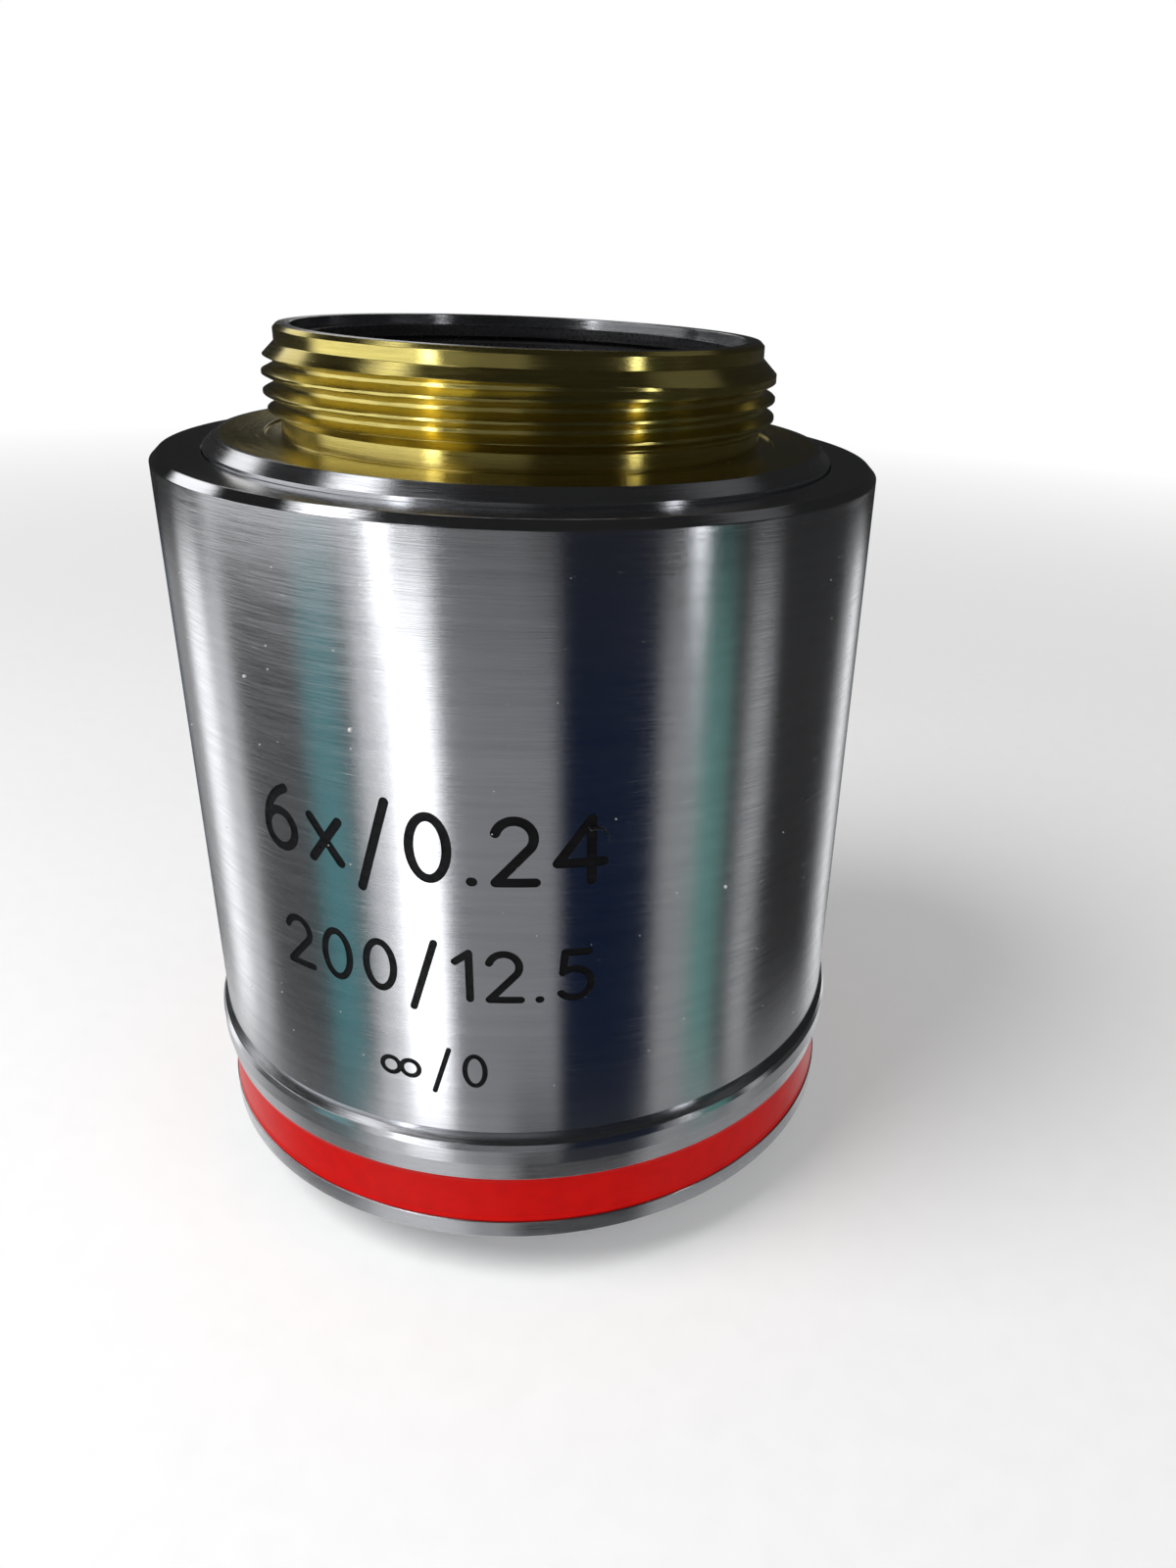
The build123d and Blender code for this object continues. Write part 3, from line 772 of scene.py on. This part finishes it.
def turned_metal(name, tones, roughness, anisotropy, depth, polish_share, plated=None):
    """Metal off the lathe: fine marks round the axis, a slightly uneven colour and gloss.

    Tones are the darker and lighter colour. The polish share cuts the roughness of the faces at the top.
    Plated gives two other tones for the rim of the neck and the outer edge of the shoulder.
    """
    nodes = new_material(name)
    broad = nodes.turning(around=0.1, across=2.5)
    marks = nodes.turning(around=0.35, across=14.0)
    fine = nodes.turning(around=1.2, across=45.0)
    colour = nodes.tones(broad, *tones)
    *_, height, radius = nodes.place()
    if plated:
        other = nodes.tones(broad, *plated)
        outer = nodes.math("GREATER_THAN", radius, plated_from)
        inner = nodes.math("LESS_THAN", radius, plated_inside)
        either = nodes.math("MAXIMUM", outer, inner)
        # Inputs 6 and 7 and output 2 are the colours of a Mix node
        colour = nodes.add("ShaderNodeMix", {0: either, 6: colour, 7: other}, data_type="RGBA").outputs[2]
    spread = nodes.map_range(nodes.math("ADD", marks, fine), *gloss_range, *gloss_range)
    change = (polish_height - polish_blend, polish_height + polish_blend)
    polish = nodes.map_range(height, *change, 1.0, polish_share)
    rough = nodes.math("MULTIPLY", nodes.math("MULTIPLY", spread, polish), roughness)
    relief = nodes.math("ADD", nodes.math("MULTIPLY", marks, 0.5), nodes.math("MULTIPLY", fine, 0.5))
    normal = nodes.bump(relief, strength=1.0, distance=depth)
    tangent = nodes.add("ShaderNodeTangent", direction_type="RADIAL", axis="Z").outputs[0]
    return nodes.surface({
        "Base Color": colour, "Metallic": 1.0, "Roughness": rough, "Normal": normal,
        "Anisotropic": anisotropy, "Anisotropic Rotation": 0.25, "Tangent": tangent,
    })


def enamel(name, colour, spotted):
    """Glossy paint, a little uneven, with fine orange peel."""
    nodes = new_material(name)
    tone = nodes.tones(nodes.grain(1.2), spotted, colour, between=(0.35, 0.65))
    normal = nodes.bump(nodes.grain(3.0), strength=0.5, distance=0.004)
    return nodes.surface({
        "Base Color": tone, "Roughness": 0.3, "Specular IOR Level": 0.12, "Normal": normal,
    })


def blackened(name, dark, light, roughness, depth, shine=0.5):
    """Blackened or anodised turning."""
    nodes = new_material(name)
    colour = nodes.tones(nodes.turning(around=0.4, across=6.0), dark, light)
    rough = nodes.math("MULTIPLY", nodes.grain(6.0), 2 * roughness)
    normal = nodes.bump(nodes.turning(around=0.8, across=12.0), strength=1.0, distance=depth)
    return nodes.surface({
        "Base Color": colour, "Roughness": rough, "Specular IOR Level": shine, "Normal": normal,
    })


def coated_glass(name, colour, coating):
    """Polished lens with a thin coating that tints its reflection, and faint dust."""
    nodes = new_material(name)
    dust = nodes.tones(nodes.grain(9.0, detail=4.0), 0.0, 0.25, between=(0.62, 0.75))
    grey = nodes.add("ShaderNodeRGBToBW", {0: dust}).outputs[0]
    return nodes.surface({
        "Base Color": (*colour, 1), "Roughness": nodes.math("MULTIPLY_ADD", grey, 0.3, 0.01), "IOR": 1.52,
        "Transmission Weight": 1.0, "Specular Tint": (*coating, 1),
    })


def fluff(name):
    """Pale fibre and dust."""
    nodes = new_material(name)
    colour = nodes.tones(nodes.grain(20.0), (0.6, 0.6, 0.58), (0.85, 0.85, 0.83))
    normal = nodes.bump(nodes.grain(60.0), strength=0.5, distance=0.002)
    return nodes.surface({"Base Color": colour, "Roughness": 0.8, "Normal": normal})


def plain_steel(name):
    """Small steel screw."""
    nodes = new_material(name)
    colour = nodes.tones(nodes.grain(5.0), (0.36, 0.36, 0.38), (0.5, 0.5, 0.52))
    normal = nodes.bump(nodes.grain(14.0), strength=0.6, distance=0.004)
    return nodes.surface({"Base Color": colour, "Metallic": 1.0, "Roughness": 0.35, "Normal": normal})


# Finishes by material slot of the record
plated_tones = ((0.6, 0.61, 0.64), (0.66, 0.67, 0.7))
brass_tones = ((0.62, 0.52, 0.15), (0.74, 0.63, 0.22))
finishes = {
    "plating": turned_metal(
        "plating", plated_tones, roughness=0.2, anisotropy=0.9, depth=0.005, polish_share=0.5
    ),
    "brass": turned_metal(
        "brass", brass_tones, roughness=0.2, anisotropy=0.85, depth=0.004, polish_share=1.0,
        plated=plated_tones,
    ),
    "red_enamel": enamel("red_enamel", (0.72, 0.003, 0.001), (0.66, 0.002, 0.001)),
    "black_paint": blackened(
        "black_paint", (0.004, 0.004, 0.005), (0.01, 0.01, 0.011), roughness=0.5, depth=0.002, shine=0.12
    ),
    "black_brass": blackened(
        "black_brass", (0.010, 0.010, 0.011), (0.022, 0.022, 0.024), roughness=0.3, depth=0.004
    ),
    "black_aluminium": blackened(
        "black_aluminium", (0.02, 0.02, 0.022), (0.04, 0.04, 0.043), roughness=0.4, depth=0.003
    ),
    "crown_glass": coated_glass("crown_glass", (0.97, 0.99, 1.0), (0.75, 0.6, 1.0)),
    "flint_glass": coated_glass("flint_glass", (1.0, 0.99, 0.95), (0.6, 0.9, 0.7)),
    "steel": plain_steel("steel"),
}

make_body(finishes["brass"])
make_barrel(finishes["plating"], finishes["black_paint"])
make_ring(finishes["plating"])
make_band(finishes["red_enamel"])
make_dust(fluff("lint"))

for subpart in frame["record"]["subparts"]:
    for slot in frame["nodes"][subpart["node"]].material_slots:
        slot.material = finishes[subpart["material_slot"]]


def area_lamp(name, place, target, size, watts):
    """Soft lamp that lights paint and floor; metal sees the cards instead."""
    lamp = bpy.data.lights.new(name, "AREA")
    lamp.shape = "DISK"
    lamp.size = size * MM
    lamp.energy = watts
    obj = bpy.data.objects.new(name, lamp)
    bpy.context.scene.collection.objects.link(obj)
    obj.location = [MM * c for c in place]
    direction = Vector(target) - Vector(place)
    obj.rotation_euler = direction.to_track_quat("-Z", "Y").to_euler()
    obj.visible_glossy = False
    obj.visible_camera = False


def make_floor():
    """Wide pale disc that holds the shadow, and far off turns white of its own, so that no horizon shows."""
    builder = Builder()
    centre = builder.point(0, 0, floor_z)
    rings = []
    for radius in floor_radii:
        places = [(radius * x, radius * y, floor_z) for x, y in map(column, range(SEGMENTS))]
        rings.append([builder.point(*place) for place in places])
    for i in range(SEGMENTS):
        builder.face((centre, rings[0][i], rings[0][(i + 1) % SEGMENTS]), [UP] * 3)
    join_rows(builder, rings[::-1], [[UP] * SEGMENTS] * len(rings))
    nodes = new_material("floor")
    *_, radius = nodes.place()
    far = nodes.map_range(radius, *floor_fade, 0.0, 1.0)
    grain = nodes.tones(nodes.grain(0.8), 0.88, 0.91)
    paint = nodes.add("ShaderNodeBsdfDiffuse", {"Color": grain}).outputs[0]
    strength = nodes.math("MULTIPLY", nodes.looked_at(), floor_lift)
    lift = nodes.add("ShaderNodeEmission", {"Strength": strength}).outputs[0]
    lifted = nodes.add("ShaderNodeAddShader", {0: paint, 1: lift}).outputs[0]
    white = nodes.add("ShaderNodeEmission", {"Color": (1, 1, 1, 1), "Strength": 1.0}).outputs[0]
    nodes.show(nodes.add("ShaderNodeMixShader", {0: far, 1: lifted, 2: white}))
    builder.make_stage("floor", nodes.owner)


def make_world():
    """White where the camera, metal or glass looks at it; a soft sky for everything else."""
    world = bpy.data.worlds.new("studio")
    bpy.context.scene.world = world
    nodes = Nodes(world, "ShaderNodeOutputWorld")
    strength = nodes.map_range(nodes.looked_at(), 0.0, 1.0, sky_light, 1.0)
    nodes.show(nodes.add("ShaderNodeBackground", {"Color": (1, 1, 1, 1), "Strength": strength}))


def make_camera():
    """The camera of the photo, turned by its tilt and roll."""
    right = Vector((1, 0, 0))
    forward = Vector((0, cos(camera_tilt), -sin(camera_tilt)))
    up = Vector((0, sin(camera_tilt), cos(camera_tilt)))
    side = cos(camera_roll) * right + sin(camera_roll) * up
    head = cos(camera_roll) * up - sin(camera_roll) * right
    data = bpy.data.cameras.new("camera")
    data.sensor_width = camera_sensor
    data.lens = camera_lens
    data.shift_x, data.shift_y = camera_shift
    data.clip_start, data.clip_end = camera_clip
    camera = bpy.data.objects.new("camera", data)
    bpy.context.scene.collection.objects.link(camera)
    turn = Matrix((side, head, -forward)).transposed()
    camera.matrix_world = Matrix.Translation(Vector(camera_place) * MM) @ turn.to_4x4()
    bpy.context.scene.camera = camera


# Low cards, which lie on the table where the barrel mirrors them to the camera: azimuth of the mirrored ray
# to the middle (0 is the camera side, 90 the +X side), half width, softness of the edge, and the light that
# the plating sends back. Angles are degrees, and later cards stand in front.
low_cards = [
    (-60, 45, 6, 0.05),
    (105, 30, 4, 0.02),
    (-117, 7, 7, 0.95),
    (-103, 5, 7, 0.45),
    (-60, 7, 4, (0.05, 0.16, 0.17)),
    (-43, 5, 4, 0.5),
    (-29, 8, 5, 1.6),
    (-2, 19, 10, (0.17, 0.17, 0.175)),
    (34, 17, 1, (0.003, 0.007, 0.02)),
    (58, 5, 2, 0.2),
    (71, 6, 3, (0.08, 0.18, 0.16)),
    (89, 5, 4, 0.28),
    (-163, 8, 5, 0.9),
    (-147, 5, 3, (0.05, 0.06, 0.08)),
    (148, 5, 4, 0.7),
    (167, 7, 3, (0.03, 0.04, 0.05)),
]

# The same close to the foot of the object, where the nose ring mirrors them
near_cards = [
    (-135, 25, 15, 0.4),
    (-77, 16, 12, 0.1),
    (-38, 20, 12, 0.38),
    (25, 26, 14, 0.03),
    (92, 30, 14, 0.18),
    (150, 12, 12, 0.45),
]

# High cards, which the neck, the shoulder and the top edges mirror: azimuth and elevation of the middle,
# seen from the shoulder, half width, half height and light
high_cards = [
    (-64, 1, 30, 10, 0.9),
    (-5, -2, 14, 7, 0.12),
    (-145, 25, 22, 6, (0.7, 0.68, 0.64)),
    (-161, 11.5, 5, 3, 0.6),
    (-112, 22, 9, 7, 0.9),
    (-35, 34, 12, 15, 0.9),
    (-79, 52, 12, 7, 1.5),
    (-170, 52, 20, 8, 0.5),
    (115, 48, 20, 10, 0.07),
    (-32, 0, 2.5, 10, 4.0),
    (56, 0, 1.4, 10, 3.0),
]


def away(azimuths, middle):
    """Degrees between some azimuths and one other."""
    return np.abs((azimuths - middle + 180) % 360 - 180)


def card_light(cards, azimuths):
    """Light of a ring of cards at some azimuths in degrees."""
    light = np.full((len(azimuths), 3), backdrop_light)
    for middle, width, edge, colour in cards:
        weight = 1 - smoothstep(width - edge / 2, width + edge / 2, away(azimuths, middle))
        light += weight[:, None] * (np.array(colour) - light)
    return light


def reflected_azimuths(radius, azimuths):
    """Azimuths of the rays from the camera that the barrel mirrors to points of a circle on the table."""
    camera = np.array(camera_place[:2])
    ahead = atan2(camera[0], -camera[1])
    edge = acos(barrel_high.x / hypot(*camera)) - limb_margin
    at = np.linspace(ahead - edge, ahead + edge, limb_samples)
    normal = np.stack([np.sin(at), -np.cos(at)])
    wall = barrel_high.x * normal
    sight = wall - camera[:, None]
    sight /= np.hypot(*sight)
    ray = sight - 2 * np.sum(sight * normal, axis=0) * normal
    along = np.sum(wall * ray, axis=0)
    distance = np.sqrt(along ** 2 + radius ** 2 - barrel_high.x ** 2) - along
    hit = wall + distance * ray
    points = np.degrees(np.unwrap(np.arctan2(hit[0], -hit[1])))
    rays = np.degrees(np.unwrap(np.arctan2(ray[0], -ray[1])))
    return np.interp(azimuths, points, rays)


def low_light(radius, azimuths):
    """Light of points of the low cards."""
    seen = reflected_azimuths(radius, azimuths)
    nearness = 1 - float(smoothstep(near_card_reach, near_card_reach + near_card_blend, radius))
    return (1 - nearness) * card_light(low_cards, seen) + nearness * card_light(near_cards, seen)


def high_light(azimuths, elevation):
    """Light of points above the low cards."""
    light = np.full((len(azimuths), 3), dark_light)
    for middle, height, width, rise, colour in high_cards:
        across = away(azimuths, middle) / width
        up = abs(elevation - height) / rise
        weight = (1 - smoothstep(*card_edge, across)) * (1 - smoothstep(*card_edge, up))
        light += weight[:, None] * (np.array(colour) - light)
    return light


def card_rows():
    """Radius and height of each row of the cards' sheet: table, wall and dome."""
    low = floor_z + table_lift
    rows = [(radius, low) for radius in np.linspace(*table_radii, table_rows)]
    rows += [(wall_radius, z) for z in np.linspace(low, wall_top, wall_rows)]
    for k in range(1, dome_rows + 1):
        share = k / dome_rows
        rows.append((wall_radius * (1 - share), wall_top + dome_rise * sin(share * pi / 2)))
    return rows


def make_cards():
    """Sheet of light cards round the object, as a photographer sets them up. Only reflections show it."""
    azimuths = np.arange(SEGMENTS) * 360 / SEGMENTS - 180
    builder = Builder()
    grid, lights = [], []
    for radius, z in card_rows():
        x, y = radius * np.sin(np.radians(azimuths)), -radius * np.cos(np.radians(azimuths))
        grid.append([builder.point(x[i], y[i], z) for i in range(SEGMENTS)])
        elevation = degrees(atan2(z, radius))
        on_table = radius < wall_radius and z < wall_top
        high = 0.0 if on_table else float(smoothstep(*low_card_rim, elevation))
        light = high * high_light(azimuths, elevation)
        if high < 1:
            light += (1 - high) * low_light(radius, azimuths)
        lights.append(light / plating_reflectance)
    join_rows(builder, grid, [[UP] * SEGMENTS] * len(grid))
    nodes = new_material("cards")
    light = nodes.add("ShaderNodeAttribute", attribute_name="light").outputs["Color"]
    nodes.show(nodes.add("ShaderNodeEmission", {"Color": light, "Strength": 1.0}))
    nodes.owner.cycles.emission_sampling = "NONE"
    cards = builder.make_stage("cards", nodes.owner)
    attribute = cards.data.color_attributes.new("light", "FLOAT_COLOR", "POINT")
    colours = np.ones((len(grid) * SEGMENTS, 4))
    colours[:, :3] = np.concatenate(lights)
    attribute.data.foreach_set("color", colours.ravel())
    cards.visible_camera = False
    cards.visible_diffuse = False
    cards.visible_transmission = False
    cards.visible_volume_scatter = False
    cards.visible_shadow = False


make_floor()
make_world()
make_cards()
area_lamp("key", (-90, -60, 120), target=(0, 0, -15), size=110, watts=0.24)
area_lamp("fill", (110, -80, 70), target=(0, 0, -15), size=110, watts=0.03)
make_camera()
bpy.context.scene.view_settings.view_transform = "Standard"
